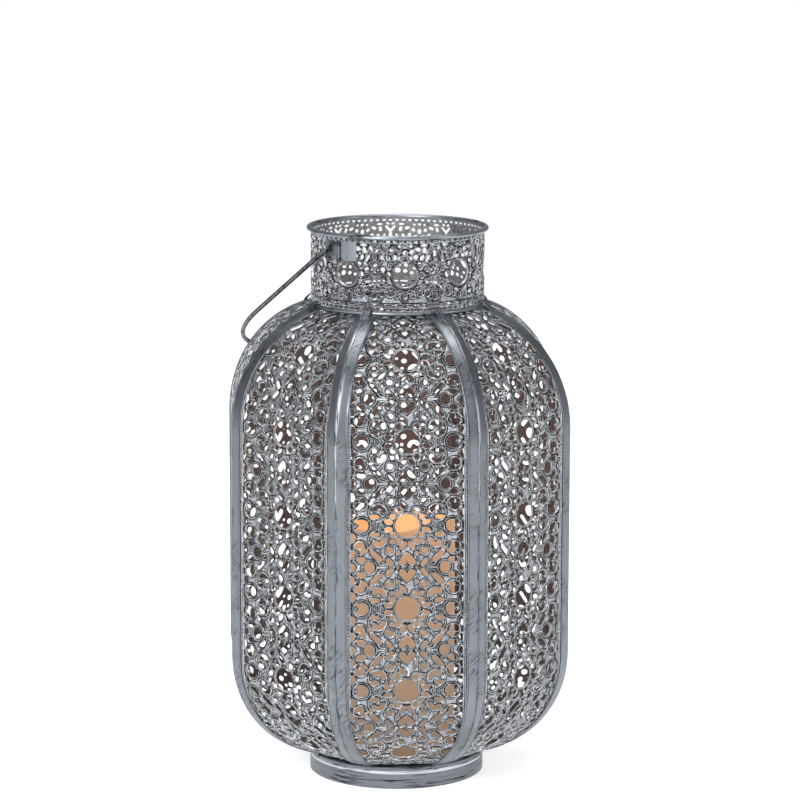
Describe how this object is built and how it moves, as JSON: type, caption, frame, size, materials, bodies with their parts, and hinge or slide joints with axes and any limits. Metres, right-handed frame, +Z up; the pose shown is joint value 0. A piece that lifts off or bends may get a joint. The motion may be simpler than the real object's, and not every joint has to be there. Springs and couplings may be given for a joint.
{
  "type": "moroccan metal lantern",
  "caption": "Barrel-shaped Moroccan lantern of pierced metal panels and V-section ribs, with an open pierced neck, a swinging wire bail and a battery pillar candle inside.",
  "frame": {"origin": "on the lantern's axis, at the underside of the base", "axes": "+Z up the lantern's axis, -Y out through the middle of the front panel, +X to the right seen from the front"},
  "size_m": [0.2428, 0.2455, 0.4027],
  "materials": {
    "pierced_sheet": "antique silver, dark patina in the recesses",
    "plain_sheet": "antique silver, brushed, worn dark along the edges",
    "wire": "antique silver, satin",
    "wax": "soft wax, glowing from inside",
    "core_plastic": "moulded",
    "switch_plastic": "moulded",
    "contact_metal": "plated",
    "cell_sleeve": "printed sleeve, no lettering",
    "board": "coated circuit board",
    "lamp_lens": "clear amber lens"
  },
  "bodies": {
    "lantern": {"base_ring": "plain_sheet", "base_plate": "plain_sheet", "foot_collar": "plain_sheet", "filigree_panel_1": "pierced_sheet", "filigree_panel_2": "pierced_sheet", "filigree_panel_3": "pierced_sheet", "filigree_panel_4": "pierced_sheet", "filigree_panel_5": "pierced_sheet", "filigree_panel_6": "pierced_sheet", "filigree_panel_7": "pierced_sheet", "filigree_panel_8": "pierced_sheet", "rib_1": "plain_sheet", "rib_2": "plain_sheet", "rib_3": "plain_sheet", "rib_4": "plain_sheet", "rib_5": "plain_sheet", "rib_6": "plain_sheet", "rib_7": "plain_sheet", "rib_8": "plain_sheet", "neck_collar": "plain_sheet", "shoulder_ring": "plain_sheet", "neck_band": "pierced_sheet", "rim_bead": "plain_sheet", "neck_seam_patch": "plain_sheet", "bail_bracket_near": "plain_sheet", "bail_bracket_far": "plain_sheet", "bracket_rivets": "plain_sheet"},
    "bail": {"bail": "wire"},
    "candle": {"candle_shell": "wax", "candle_core": "core_plastic", "battery_cells": "cell_sleeve", "cell_contacts": "contact_metal", "led_board": "board", "led_lamp": "lamp_lens"},
    "candle_switch": {"candle_switch": "switch_plastic"},
    "battery_cover": {"battery_cover": "core_plastic", "cover_contact": "contact_metal"}
  },
  "joints": [
    {"name": "bail_swing", "type": "hinge", "parent": "lantern", "child": "bail", "pos_m": [0, 0, 0.39], "axis": [0.7934, 0.6088, 0], "range_deg": [0, 248]},
    {"name": "candle_lift", "type": "slide", "parent": "lantern", "child": "candle", "axis": [0, 0, 1], "range_m": [0, 0.42]},
    {"name": "switch_slide", "type": "slide", "parent": "candle", "child": "candle_switch", "axis": [1, 0, 0], "range_m": [0, 0.0035]},
    {"name": "cover_turn", "type": "hinge", "parent": "candle", "child": "battery_cover", "pos_m": [0.0025, -0.0002, 0.003], "axis": [0, 0, 1], "range_deg": [0, 25]}
  ]
}
